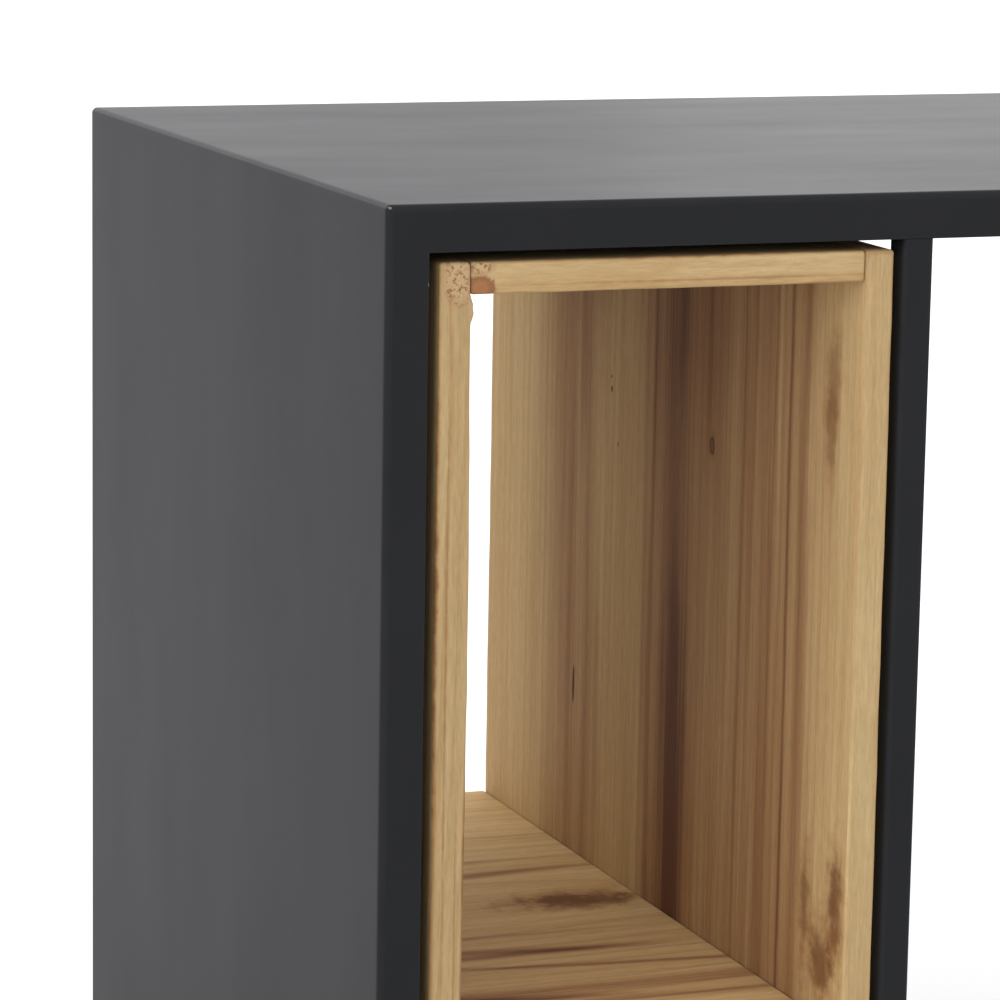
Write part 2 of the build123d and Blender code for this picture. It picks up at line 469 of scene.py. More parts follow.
@dataclass(frozen=True)
class PaintedSteel:
    """Dark satin powder coat on steel sheet and tube."""

    name: str
    nicks: tuple[Nick, ...] = ()
    paint: Colour = (0.0138, 0.0142, 0.0154, 1.0)
    rubbed: Colour = (0.0200, 0.0204, 0.0216, 1.0)
    bare: Colour = (0.15, 0.15, 0.16, 1.0)
    roughness: float = 0.36
    gloss_level: float = 0.038
    peel: float = 1.0
    wave: float = 0.6
    wear: float = 0.5

    def build(self) -> bpy.types.Material:
        """Makes the material.

        Returns:
            The material, which reads Object coordinates and the mesh's edge attribute.
        """
        material, bench, shader = new_material(self.name)
        place = bench.node("ShaderNodeTexCoord").outputs["Object"]
        coat = bench.place(Effect.POWDER_COAT, Place=place, Peel=self.peel, Wave=self.wave)
        edge = bench.attribute("edge", "Fac")
        wear = bench.place(Effect.EDGE_WEAR, Place=place, Edge=edge, Amount=self.wear)
        marks = bench.place(Effect.HANDLING, Place=place, Strength=0.09)
        mottled = bench.blend(bench.times(coat.outputs["Patch"], 0.4), self.paint, self.rubbed)
        colour = bench.blend(bench.times(wear.outputs["Rub"], 0.45), mottled, self.rubbed)
        for nick in self.nicks:
            spot = bench.place(
                Effect.SPOT, Place=place, Centre=nick.centre, Reach=nick.reach, Ragged=1.6, Grit=1500.0
            )
            colour = bench.blend(spot.outputs["Mask"], colour, self.bare)
        bench.feed(shader.inputs["Base Color"], colour)
        bench.feed(shader.inputs["Roughness"], bench.plus(self.roughness, marks.outputs["Rough Shift"]))
        shader.inputs["Specular IOR Level"].default_value = self.gloss_level
        bumped(bench, shader, coat.outputs["Height"])
        return material


class Blemish(Enum):
    """What a spot on a board is, as the colour of its rim and of its heart."""

    KNOT = ((0.060, 0.028, 0.014, 1.0), (0.190, 0.115, 0.056, 1.0))
    RED_KNOT = ((0.170, 0.060, 0.026, 1.0), (0.235, 0.090, 0.036, 1.0))
    CHECK = ((0.042, 0.020, 0.012, 1.0), (0.030, 0.014, 0.009, 1.0))
    SCORCH = ((0.290, 0.130, 0.042, 1.0), (0.165, 0.066, 0.024, 1.0))
    FILLER = ((0.330, 0.215, 0.112, 1.0), (0.390, 0.270, 0.148, 1.0))


@dataclass(frozen=True)
class Spot:
    """A blemish on a board: its middle and reach along, across and through it, in millimetres."""

    kind: Blemish
    centre: Point
    reach: Point
    ragged: float = 0.3
    strength: float = 1.0


@dataclass(frozen=True)
class ToastedFir:
    """One board's own cut of toasted fir, with painted light: lighter broad faces and darker narrow
    edges.
    """

    name: str
    seed: float
    ring: float = 0.0032
    pith_across: float = 0.0
    pith_depth: float = 0.05
    slope: float = 0.02
    wander: float = 1.0
    scorch: float = 0.3
    contrast: float = 0.40
    # Painted light: tone above 1 lightens the broad faces, standing in for light that the inside of a box
    # lacks; the rim factor below 1 is painted shade on the narrow front edges.
    tone: float = 1.0
    rim_painted_shade: float = 1.0
    spots: tuple[Spot, ...] = ()

    def blemished(self, bench: Bench, grain: Socket, colour: Socket) -> Socket:
        """Lays the board's spots over its colour.

        Args:
            bench: the material's bench.
            grain: the place in the board.
            colour: the wood's colour.
        Returns:
            The colour with its knots, checks, scorches and filler.
        """
        for spot in self.spots:
            flame = spot.kind is Blemish.SCORCH
            mask = bench.place(
                Effect.SPOT,
                Place=grain,
                Centre=tuple(value * MM for value in spot.centre),
                Reach=tuple(value * MM for value in spot.reach),
                Ragged=spot.ragged,
                Grit=140.0 if flame else 900.0,
            )
            away = mask.outputs["Away"]
            rim, heart = spot.kind.value
            body = bench.blend(bench.step(away, 0.75, 0.35), rim, heart)
            if spot.kind is Blemish.FILLER:
                grit = bench.step(bench.streaks(grain, 900.0, 900.0, 3.0, 0.7), 0.50, 0.64)
                body = bench.blend(grit, body, Blemish.SCORCH.value[1])
            cover = bench.minus(1.0, bench.step(away, 0.10, 1.15)) if flame else mask.outputs["Mask"]
            colour = bench.blend(bench.times(cover, spot.strength), colour, body)
        return colour

    def build(self) -> bpy.types.Material:
        """Makes the material.

        Returns:
            The material, which reads the grain, char, edge and end attributes of a board.
        """
        material, bench, shader = new_material(self.name)
        grain = bench.attribute("grain", "Vector")
        # Painted light: the broad faces take tone and the narrow edges the rim factor, as one multiplier
        # on the wood's colour.
        broad = bench.times(bench.attribute("broad", "Fac"), self.tone - self.rim_painted_shade)
        wood = bench.place(
            Effect.TIMBER,
            Grain=grain,
            Seed=(self.seed, self.seed, self.seed),
            Char=bench.attribute("char", "Fac"),
            Edge=bench.attribute("edge", "Fac"),
            End=bench.attribute("end", "Fac"),
            Ring=self.ring,
            Pith_Across=self.pith_across,
            Pith_Depth=self.pith_depth,
            Slope=self.slope,
            Wander=self.wander,
            Scorch=self.scorch,
            Contrast=self.contrast,
            Tone=bench.plus(self.rim_painted_shade, broad),
        )
        bench.feed(shader.inputs["Base Color"], self.blemished(bench, grain, wood.outputs["Color"]))
        bench.feed(shader.inputs["Roughness"], wood.outputs["Roughness"])
        shader.inputs["Specular IOR Level"].default_value = 0.06
        bumped(bench, shader, wood.outputs["Height"])
        return material


@dataclass(frozen=True)
class PlainFinish:
    """A small fitting's finish: zinc-plated steel or moulded plastic."""

    name: str
    colour: Colour
    mottle: Colour
    metallic: float
    roughness: float
    grain: float

    def build(self) -> bpy.types.Material:
        """Makes the material.

        Returns:
            The material, mottled and finely bumped in Object coordinates.
        """
        material, bench, shader = new_material(self.name)
        place = bench.node("ShaderNodeTexCoord").outputs["Object"]
        patches = bench.noise(place, 400.0, 4.0, 0.6)
        marks = bench.place(Effect.HANDLING, Place=place, Strength=0.3)
        colour = bench.blend(bench.step(patches, 0.3, 0.75), self.colour, self.mottle)
        bench.feed(shader.inputs["Base Color"], colour)
        shader.inputs["Metallic"].default_value = self.metallic
        bench.feed(shader.inputs["Roughness"], bench.plus(self.roughness, marks.outputs["Rough Shift"]))
        fine = bench.times(bench.noise(place, 2600.0, 2.0), self.grain)
        bumped(bench, shader, fine)
        return material


# ---------------------------------------------------------------- mesh helpers


def arc(centre: tuple[float, float], radius: float, start: float, end: float, count: int) -> np.ndarray:
    """Points on a circle: the centre plus radius times the cosine and sine of evenly spaced angles.

    Args:
        centre: the circle's centre.
        radius: its radius.
        start: the first angle, in degrees.
        end: the last angle, in degrees.
        count: the number of points.
    Returns:
        The points, one to a row.
    """
    angle = np.radians(np.linspace(start, end, count))
    return np.column_stack((centre[0] + radius * np.cos(angle), centre[1] + radius * np.sin(angle)))


def spread(low: float, high: float, count: int, crowd: float) -> np.ndarray:
    """Numbers from low to high, crowded towards both ends.

    A straight run is mixed with half a cosine wave, whose slope is zero at the ends.

    Args:
        low: the first number.
        high: the last number.
        count: how many.
        crowd: 0 for an even spread and 1 for a full cosine.
    Returns:
        The numbers, in order.
    """
    share = np.linspace(0.0, 1.0, count)
    eased = (1 - crowd) * share + crowd * (1 - np.cos(np.pi * share)) / 2
    return low + (high - low) * eased


def ring_faces(rings: int, around: int) -> np.ndarray:
    """Quads that join each ring of points to the next, facing outwards for rings that turn left.

    Args:
        rings: the number of rings.
        around: the points in each.
    Returns:
        Four point numbers to a row.
    """
    ring, place = np.meshgrid(np.arange(rings - 1), np.arange(around), indexing="ij")
    beside = (place + 1) % around
    here, ahead = ring * around, (ring + 1) * around
    quads = (here + place, here + beside, ahead + beside, ahead + place)
    return np.stack(quads, axis=-1).reshape(-1, 4)


def bar_faces(rings: int, around: int) -> list[list[int]]:
    """The faces of a bar of rings, with one face across each end.

    Args:
        rings: the number of rings.
        around: the points in each.
    Returns:
        The point numbers of each face.
    """
    faces = ring_faces(rings, around).tolist()
    faces.append(list(range(around))[::-1])
    faces.append(list(range((rings - 1) * around, rings * around)))
    return faces


@dataclass(frozen=True)
class Role:
    """What a piece is besides its shape: the CAD node it stands for, its body and finish, and a slot
    name.
    """

    node: str
    body: str
    slot: str
    material: bpy.types.Material


def make_piece(
    name: str, points: np.ndarray, faces: list[list[int]], role: Role, values: dict[str, np.ndarray]
) -> None:
    """Turns points and faces into a smooth piece that rides on a body.

    Args:
        name: the piece's name.
        points: one point to a row, in metres, in the frame of the whole object.
        faces: point numbers of each face.
        role: its node, body and finish.
        values: attributes of the points, one number or three to each point.
    """
    mesh = bpy.data.meshes.new(name)
    mesh.from_pydata(points.tolist(), [], faces)
    for label, data in values.items():
        kind, key = ("FLOAT_VECTOR", "vector") if data.ndim == 2 else ("FLOAT", "value")
        mesh.attributes.new(label, kind, "POINT").data.foreach_set(key, data.astype(np.float32).ravel())
    mesh.validate()
    mesh.shade_smooth()
    mesh.materials.append(role.material)
    piece = bpy.data.objects.new(name, mesh)
    bpy.context.scene.collection.objects.link(piece)
    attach(piece, role.body)
    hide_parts(role.node)
    log.info("%s: %d faces on %s, for %s", name, len(mesh.polygons), role.body, role.node)


def dress_node(node: str, material: bpy.types.Material) -> None:
    """Gives a CAD node that stays visible its finish.

    Args:
        node: the node's name.
        material: its finish.
    """
    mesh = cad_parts[node].data
    mesh.materials.clear()
    mesh.materials.append(material)
    log.info("%s: CAD node dressed in %s", node, material.name)


def node_span(node: str) -> np.ndarray:
    """A CAD node's lowest and highest corners, as two rows."""
    return np.array([list(corner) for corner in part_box(node)])


# ---------------------------------------------------------------- steel


@dataclass
class SteelSkins:
    """The folded skins of the top and both side panels, mitred at the two upper corners.

    One section, a flat C of sheet, is carried up the left side, along the top and down the right side.
    Its outer points follow an outer path and its inner points an inner path, each with rounded corners.
    """

    material: bpy.types.Material
    sheet: float = 1.2 * MM
    fold_radius: float = 2.0 * MM
    lip_radius: float = 0.35 * MM
    corner_radius: float = 1.9 * MM
    inner_radius: float = 0.3 * MM
    corner_steps: int = 13
    side_steps: int = 26
    top_steps: int = 70

    def section(self, thickness: float) -> tuple[np.ndarray, np.ndarray, np.ndarray]:
        """The C of sheet, as places along the depth and shares of the way from outer face to inner.

        Args:
            thickness: the panel's thickness, which turns lengths into shares.
        Returns:
            Depths, shares, and how close each point is to a fold or a cut edge.
        """
        low, high = node_span("top_panel")
        half = (high[1] - low[1]) / 2
        fold, sheet, lip = self.fold_radius, self.sheet, self.lip_radius
        outer = arc((half - fold, fold), fold, 0.0, -90.0, 9)
        web = spread(half - fold, -half + fold, 48, 0.85)[1:-1]
        web = np.column_stack((web, np.zeros(len(web))))
        lip_inner = arc((half - sheet + lip, thickness - lip), lip, 180.0, 90.0, 4)
        rim = np.vstack((lip_inner, arc((half - lip, thickness - lip), lip, 90.0, 0.0, 4)))
        flange = spread(thickness - lip, fold, 9, 0.7)[1:-1]
        flange = np.column_stack((np.full(len(flange), half), flange))
        near = np.vstack((rim, flange, outer))
        near_edge = np.repeat((1.0, 0.0, 1.0), (len(rim), len(flange), len(outer)))
        inside = spread(-half + sheet, half - sheet, 12, 0.3)
        inside = np.column_stack((inside, np.full(len(inside), sheet)))
        outline = np.vstack((near, web, near[::-1] * (-1.0, 1.0), inside))
        edge = np.concatenate((near_edge, np.zeros(len(web)), near_edge[::-1], np.zeros(len(inside))))
        return outline[:, 0], outline[:, 1] / thickness, edge

    def path(self, x: float, z: float, radius: float, foot: float) -> np.ndarray:
        """One path: up the left side, round the corner, along the top and down the right side.

        Args:
            x: how far from the middle it climbs.
            z: how high it crosses.
            radius: the radius of its corners.
            foot: how high it starts.
        Returns:
            Its points, each a place across and a height.
        """
        rise = spread(0.0, 1.0, self.side_steps, 0.7)[:-1]
        run = spread(0.0, 1.0, self.top_steps, 0.85)[1:-1]
        climb = np.column_stack((np.full(len(rise), -x), foot + rise * (z - radius - foot)))
        bend = arc((-x + radius, z - radius), radius, 180.0, 90.0, self.corner_steps)
        span = np.column_stack((-x + radius + run * 2 * (x - radius), np.full(len(run), z)))
        left = np.vstack((climb, bend))
        return np.vstack((left, span, left[::-1] * (-1.0, 1.0)))

    def floor_plate(self, side: int) -> tuple[np.ndarray, np.ndarray]:
        """The bottom fold that closes a side skin: a flat plate between its flanges.

        Args:
            side: -1 for the left skin and 1 for the right one.
        Returns:
            Its eight points and six faces.
        """
        low, high = node_span("right_side_panel")
        gap = self.sheet
        x = np.array([low[0], high[0] - gap])
        y = np.array([low[1] + gap, high[1] - gap])
        z = np.array([low[2], low[2] + gap])
        corner = np.array([[x[i], y[j], z[k]] for k in (0, 1) for j in (0, 1) for i in (0, 1)])
        quads = np.array(
            ((0, 2, 3, 1), (4, 5, 7, 6), (0, 1, 5, 4), (2, 6, 7, 3), (0, 4, 6, 2), (1, 3, 7, 5))
        )
        if side < 0:
            return corner * (-1.0, 1.0, 1.0), quads[:, ::-1]
        return corner, quads

    def build(self) -> None:
        """Builds the three skins, each closed at its ends with its own section."""
        low, high = node_span("top_panel")
        foot = node_span("left_side_panel")[0][2]
        inner_x = -node_span("left_side_liner")[1][0]
        depth, share, section_edge = self.section(high[2] - low[2])
        outer = self.path(high[0], high[2], self.corner_radius, foot)[:, None, :]
        inner = self.path(inner_x, low[2], self.inner_radius, foot)[:, None, :]
        corner = np.zeros(len(outer))
        corner[self.side_steps - 1 : self.side_steps - 1 + self.corner_steps] = 1.0
        corner = np.maximum(corner, corner[::-1])
        mixed = outer * (1 - share)[None, :, None] + inner * share[None, :, None]
        shape = (len(outer), len(depth))
        points = np.stack((mixed[..., 0], np.broadcast_to(depth, shape), mixed[..., 1]), axis=-1)
        on_web = (share < 0.02)[None, :] * corner[:, None]
        edge = np.maximum(np.broadcast_to(section_edge, shape), on_web)
        bend = self.side_steps - 1 + self.corner_steps // 2
        last = len(outer) - 1
        cuts = (
            ("left_side", 0, bend, -1),
            ("top", bend, last - bend, 0),
            ("right_side", last - bend, last, 1),
        )
        for name, first, end, side in cuts:
            faces = bar_faces(end + 1 - first, len(depth))
            solid = points[first : end + 1].reshape(-1, 3)
            value = edge[first : end + 1].ravel()
            if side:
                plate, quads = self.floor_plate(side)
                faces += (quads + len(solid)).tolist()
                solid = np.vstack((solid, plate))
                value = np.concatenate((value, np.zeros(len(plate))))
            role = Role(f"{name}_panel", "frame", "painted_steel", self.material)
            make_piece(f"{name}_skin", solid, faces, role, {"edge": value})


@dataclass
class SteelTubes:
    """The posts and base rails: rounded square tube, closed where it is welded or plugged."""

    material: bpy.types.Material
    corner_radius: float = 1.3 * MM
    corner_steps: int = 6
    face_steps: int = 5
    stations: int = 24
    dent: float = 0.03 * MM
    shown: tuple[str, ...] = (
        "front_post", "rear_post", "front_base_rail", "rear_base_rail", "side_base_rail",
    )

    def section(self, width: float, height: float) -> tuple[np.ndarray, np.ndarray]:
        """A rectangle with rounded corners, turning left.

        Args:
            width: its size along the first axis.
            height: its size along the second axis.
        Returns:
            Its points, and 1 for each point on a corner.
        """
        radius = self.corner_radius
        x, y = width / 2 - radius, height / 2 - radius
        rows, edge = [], []
        corners = np.array(((x, y), (-x, y), (-x, -y), (x, -y)))
        for number, corner in enumerate(corners):
            start = 90.0 * number
            bend = arc(corner, radius, start, start + 90.0, self.corner_steps)
            stretch = corners[(number + 1) % 4] - corner
            side = np.linspace(bend[-1], bend[-1] + stretch, self.face_steps + 2)[1:-1]
            rows += [bend, side]
            edge += [np.ones(len(bend)), np.zeros(len(side))]
        return np.vstack(rows), np.concatenate(edge)

    def build_tube(self, node: str) -> None:
        """Builds the tube that stands for one CAD node.

        The section is carried along the node's longest side, and each of its faces is hollowed by a few
        hundredths of a millimetre, as a sine of the place along the tube.

        Args:
            node: the CAD node's name.
        """
        low, high = node_span(node)
        size = high - low
        axis = int(np.argmax(size))
        first, second = (axis + 1) % 3, (axis + 2) % 3
        outline, edge = self.section(size[first], size[second])
        station = spread(low[axis], high[axis], self.stations, 0.6)
        pinch = 1 - 2 * self.dent * np.sin(np.pi * (station - low[axis]) / size[axis]) / size[first]
        points = np.zeros((self.stations, len(outline), 3))
        middle = (low + high) / 2
        points[..., axis] = station[:, None]
        points[..., first] = middle[first] + outline[None, :, 0] * pinch[:, None]
        points[..., second] = middle[second] + outline[None, :, 1] * pinch[:, None]
        faces = bar_faces(self.stations, len(outline))
        role = Role(node, "frame", "painted_steel", self.material)
        values = {"edge": np.tile(edge, self.stations)}
        make_piece(f"{node}_tube", points.reshape(-1, 3), faces, role, values)

    def build(self) -> None:
        """Builds every tube that shows."""
        for side in SIDES:
            for name in self.shown:
                self.build_tube(f"{side}_{name}")


# ---------------------------------------------------------------- wood


@dataclass(frozen=True)
class Band:
    """A toasted streak along the grain, in millimetres from the board's middle.

    Its shade falls off across the grain as a bell, or as a flat-topped bell where power is over 2. It
    leans sideways by lean for each millimetre along, and waves by drift.
    """

    across: float
    half_width: float
    depth: float
    drift: float = 0.4
    start: float = -1000.0
    end: float = 1000.0
    lean: float = 0.0
    power: float = 2.0
    fade: float = 7.0


@dataclass(frozen=True)
class Swell:
    """A bow and a torn lump on one face of a board, along its front edge, in metres."""

    bow: float = 1.0 * MM
    lump: float = 1.5 * MM
    lump_along: float = 111.5 * MM
    lump_reach: float = 2.6 * MM
    front: float = -148.0 * MM
    fade: float = 3.0 * MM

    def offset(self, grain: np.ndarray, length: float, thick: float) -> np.ndarray:
        """How far each point of the board moves through the thickness.

        The bow is half a wave over the board's length and the lump is a bell. Both fade in from the
        middle of the thickness to the face, and towards the front edge.

        Args:
            grain: places in the board.
            length: the board's length.
            thick: the board's thickness.
        Returns:
            The move of each point.
        """
        along, across, through = grain[..., 0], grain[..., 1], grain[..., 2]
        outward = np.clip(2 * through / thick, 0.0, 1.0)
        near = 1 / (1 + np.exp(np.clip((across - self.front) / self.fade, -30, 30)))
        bow = self.bow * np.cos(np.pi * along / length)
        jag = 1 + 0.35 * np.sin(along / (0.9 * MM))
        lump = self.lump * jag * np.exp(-(((along - self.lump_along) / self.lump_reach) ** 2))
        return outward * near * (bow + lump)


@dataclass
class Board:
    """One board of a wooden box, shaped from its CAD node's box.

    Its section, a rectangle with eased edges, is carried along the grain. It shrinks by the easing at
    both ends, and the ends are closed with strips from one broad face to the other.
    """

    node: str
    grain_axis: int
    fir: ToastedFir
    bands: tuple[Band, ...] = ()
    easing: float = 0.9 * MM
    end_easing: float = 1.1 * MM
    across_steps: int = 220
    stations: int = 44
    arc_steps: int = 5
    uneven: float = 0.12 * MM
    swell: Swell | None = None

    def section(self, width: float, thick: float) -> tuple[np.ndarray, np.ndarray]:
        """The section, turning left, its second half the first half mirrored through the thickness.

        Args:
            width: the board's width.
            thick: the board's thickness.
        Returns:
            Its points, and how close each one is to an edge.
        """
        ease = self.easing
        x, y = width / 2 - ease, thick / 2 - ease
        right = np.vstack(
            (
                np.column_stack((np.full(6, width / 2), np.linspace(0.0, y, 7)[:-1])),
                arc((x, y), ease, 0.0, 90.0, self.arc_steps),
            )
        )
        face = spread(x, -x, self.across_steps, 0.0)[1:-1]
        face = np.column_stack((face, np.full(len(face), thick / 2)))
        left = right[::-1] * (-1.0, 1.0)
        upper = np.vstack((right, face, left))
        lower = upper[::-1][1:-1] * (1.0, -1.0)
        outline = np.vstack((upper, lower))
        inset = width / 2 - np.abs(outline[:, 0]) + thick / 2 - np.abs(outline[:, 1])
        return outline, np.clip(1.2 - inset / (2.0 * ease), 0.0, 1.0)

    def char(self, along: np.ndarray, across: np.ndarray) -> np.ndarray:
        """How toasted each point is: the sum of the bands, each fading in and out along the grain.

        Args:
            along: places along the grain, in millimetres.
            across: places across the board, in millimetres.
        Returns:
            The toasting, from 0 to 1.
        """
        total = np.zeros_like(across)
        for band in self.bands:
            middle = np.clip((band.start + band.end) / 2, -200.0, 200.0)
            sway = band.drift * np.sin(along / 31.0 + 1.7 * band.across) + band.lean * (along - middle)
            bell = np.exp(-np.abs((across - band.across - sway) / band.half_width) ** band.power)
            rise = 1 / (1 + np.exp(-np.clip((along - band.start) / band.fade, -30, 30)))
            fall = 1 / (1 + np.exp(-np.clip((band.end - along) / band.fade, -30, 30)))
            total = total + band.depth * bell * rise * fall
        return np.clip(total, 0.0, 1.0)

    def end_strips(self, around: int) -> np.ndarray:
        """Quads and end triangles that close a section, from its upper half to the lower one.

        Args:
            around: the points in a section.
        Returns:
            Four point numbers to a row, the last one repeated where the face is a triangle.
        """
        half = around // 2
        step = np.arange(half)
        above = np.stack((step, step + 1), axis=-1)
        mate = (around - above) % around
        return np.stack((above[:, 0], above[:, 1], mate[:, 1], mate[:, 0]), axis=-1)

    def stations_along(self, length: float) -> tuple[np.ndarray, np.ndarray]:
        """Where the sections stand along the board, and how much each one shrinks.

        A quarter turn eases both ends, and the product of two sines makes the faces slightly uneven.

        Args:
            length: the board's length.
        Returns:
            The places from the board's middle, and the shrinking, in metres.
        """
        quarter = np.linspace(0.0, np.pi / 2, 5)
        inset = self.end_easing * (1 - np.sin(quarter))
        advance = self.end_easing * (1 - np.cos(quarter))
        middle = spread(self.end_easing, length - self.end_easing, self.stations, 0.2)[1:-1]
        station = np.concatenate((advance, middle, length - advance[::-1])) - length / 2
        shrink = np.concatenate((inset, np.zeros(len(middle)), inset[::-1]))
        wave = self.uneven * np.sin(station / (37 * MM) + self.fir.seed) * np.sin(station / (11 * MM))
        return station, shrink + np.abs(wave)

    def build(self, body: str) -> None:
        """Builds the board, with its grain, char, edge, end and broad values.

        Args:
            body: the body that it rides on.
        """
        low, high = node_span(self.node)
        size = high - low
        axes = [self.grain_axis, 1, 2 - self.grain_axis]
        length, width, thick = (size[a] for a in axes)
        outline, section_edge = self.section(width, thick)
        station, shrink = self.stations_along(length)
        reach = np.array([width / 2, thick / 2])
        scale = (reach[None, :] - shrink[:, None]) / reach[None, :]
        count, around = len(station), len(outline)
        grain = np.zeros((count, around, 3))
        grain[..., 0] = station[:, None]
        grain[..., 1:] = outline[None, :, :] * scale[:, None, :]
        if self.swell is not None:
            grain[..., 2] += self.swell.offset(grain, length, thick)
        centre = (low + high) / 2
        points = np.zeros_like(grain)
        for column, axis in enumerate(axes):
            points[..., axis] = centre[axis] + grain[..., column]
        broad = np.clip((np.abs(outline[:, 1]) - thick / 2 + self.easing) / self.easing, 0.0, 1.0)
        strips = self.end_strips(around)
        quads = np.vstack((ring_faces(count, around), strips[:, ::-1], strips + (count - 1) * around))
        if np.linalg.det(np.eye(3)[axes]) < 0:
            quads = quads[:, ::-1]
        faces = [list(dict.fromkeys(quad)) for quad in quads.tolist()]
        from_end = np.minimum(np.arange(count), np.arange(count)[::-1])[:, None]
        at_end = np.broadcast_to(np.where(from_end < 3, 1.0, 0.0), (count, around))
        end_edge = np.where(from_end < 5, 0.8, 0.0)
        flat = grain.reshape(-1, 3)
        values = {
            "grain": flat,
            "char": self.char(flat[:, 0] / MM, flat[:, 1] / MM),
            "edge": np.maximum(section_edge[None, :], end_edge).ravel(),
            "end": at_end.ravel(),
            "broad": np.broadcast_to(broad, (count, around)).ravel(),
        }
        role = Role(self.node, body, "fir_board", self.fir.build())
        make_piece(f"{self.node}_timber", points.reshape(-1, 3), faces, role, values)


@dataclass
class WoodenBox:
    """A loose box of four boards, open in front and behind."""

    side: str
    screws: bpy.types.Material
    boards: list[Board] = field(default_factory=list)

    def build(self) -> None:
        """Builds the boards and dresses the screws."""
        for board in self.boards:
            board.build(f"{self.side}_box")
        dress_node(f"{self.side}_box_screws", self.screws)


def left_inner_side() -> Board:
    """The left box's side board beside the post, with the broad burnt band down its middle.

    Returns:
        The board, ready to build.
    """
    fir = ToastedFir(
        "fir_left_inner", seed=1.7, ring=0.0056, pith_across=0.34, slope=0.004,
        # Painted light: the broad faces lightened 1.38 times and the front edges darkened to 0.94.
        wander=0.9, scorch=0.10, contrast=0.30, tone=1.38, rim_painted_shade=0.94,
        spots=(
            Spot(Blemish.KNOT, (48.5, -47.1, -4.75), (3.3, 2.1, 1.8), 0.35, 0.85),
            Spot(Blemish.SCORCH, (48.5, -47.1, -4.75), (8.0, 4.6, 2.5), 0.8, 0.45),
            Spot(Blemish.CHECK, (-56.0, 70.0, -4.75), (7.5, 1.0, 1.0), 0.3, 0.85),
            Spot(Blemish.CHECK, (54.2, 39.6, -4.75), (1.2, 0.7, 1.0), 0.3),
            Spot(Blemish.CHECK, (58.5, 40.2, -4.75), (0.6, 0.5, 1.0), 0.3),
            Spot(Blemish.CHECK, (36.0, 33.1, -4.75), (0.8, 0.7, 1.0), 0.3, 0.7),
            Spot(Blemish.SCORCH, (84.0, -137.5, -4.75), (22.0, 8.5, 2.5), 1.3, 0.50),
            Spot(Blemish.SCORCH, (68.0, -136.8, -4.75), (19.0, 6.5, 2.5), 1.3, 0.50),
            Spot(Blemish.SCORCH, (-80.0, -149.0, -4.75), (28.0, 8.5, 2.8), 1.2, 0.90),
            Spot(Blemish.SCORCH, (-84.0, -127.5, -4.75), (28.0, 6.0, 2.8), 1.2, 0.70),
            Spot(Blemish.SCORCH, (-99.0, -139.0, -4.75), (17.0, 16.0, 3.0), 1.2, 0.85),
        ),
    )
    bands = (
        Band(-7.0, 114.0, 0.26, power=9.0),
        Band(82.0, 15.0, 0.13, 1.5),
        Band(75.0, 2.8, 0.14),
        Band(59.0, 3.4, 0.16),
        Band(65.0, 3.6, 0.24, start=38.0),
        Band(48.5, 2.6, 0.18, end=-20.0),
        Band(43.0, 1.6, 0.10, end=10.0),
        Band(30.0, 22.0, -0.30, 1.0, power=4.0, end=92.0, fade=12.0),
        Band(8.0, 2.4, 0.14),
        Band(1.5, 2.4, 0.34, 0.5),
        Band(-8.0, 5.0, 0.05),
        Band(-19.0, 14.0, 0.40, 1.0, power=2.6),
        Band(-21.0, 13.0, 0.36, 1.0, end=-18.0, power=2.6, fade=18.0),
        # These two wide bands darken the top of the board: partly char, and partly painted shade under
        # the top board.
        Band(-14.0, 34.0, 0.20, 1.5, start=62.0, fade=14.0),
        Band(60.0, 36.0, 0.12, 1.5, start=84.0, fade=14.0),
        Band(-38.5, 2.0, 0.12),
        Band(-45.0, 3.2, 0.26, start=48.0),
        Band(-64.0, 7.0, -0.10, 1.0),
        Band(-72.0, 1.2, 0.16),
        Band(-80.0, 1.8, 0.16),
        Band(-72.0, 26.0, 0.12, power=4.0),
        Band(-92.0, 6.0, 0.16, power=4.0),
        Band(-60.0, 14.0, 0.10),
        Band(-95.4, 1.0, 0.14),
        Band(-101.5, 1.0, 0.20),
        Band(-107.4, 1.3, 0.42, 0.3),
        Band(-112.0, 11.0, 0.14, power=4.0),
        Band(-127.0, 8.0, 0.12),
        Band(-118.3, 3.6, 0.30, 0.8),
        Band(-137.0, 7.0, 0.16, 1.0, start=35.0, end=96.0, fade=12.0),
        Band(-152.0, 1.3, 0.45, start=-98.0, end=-66.0, lean=-0.06),
    )
    return Board("left_box_inner_side_board", GRAIN_UP, fir, bands, across_steps=620, stations=60)


def left_outer_side() -> Board:
    """The left box's side board beside the panel, with filler at the top of its front edge.

    Returns:
        The board, ready to build.
    """
    fir = ToastedFir(
        "fir_left_outer", seed=5.3, ring=0.0030, pith_across=-0.22, pith_depth=0.06, slope=0.010,
        # Painted shade: the front edge darkened to 0.89.
        scorch=0.18, contrast=0.85, rim_painted_shade=0.89,
        spots=(
            Spot(Blemish.FILLER, (121.0, -157.5, 1.0), (10.5, 5.0, 5.6), 0.9, 0.80),
            Spot(Blemish.SCORCH, (20.0, -158.0, -5.0), (130.0, 4.0, 1.5), 1.2, 0.85),
            Spot(Blemish.SCORCH, (0.0, -158.0, -1.4), (150.0, 4.0, 0.7), 1.2, 0.45),
            Spot(Blemish.SCORCH, (-70.0, -158.0, 2.4), (60.0, 4.0, 0.6), 1.2, 0.40),
            Spot(Blemish.SCORCH, (-60.0, -158.0, 5.0), (40.0, 4.0, 0.7), 1.4, 0.6),
        ),
    )
    bands = (
        Band(60.0, 9.0, 0.7, 3.0),
        Band(20.0, 3.0, 0.5, 1.0),
        Band(-70.0, 12.0, 0.6, 3.0),
    )
    return Board(
        "left_box_outer_side_board", GRAIN_UP, fir, bands, across_steps=120, stations=150, swell=Swell()
    )


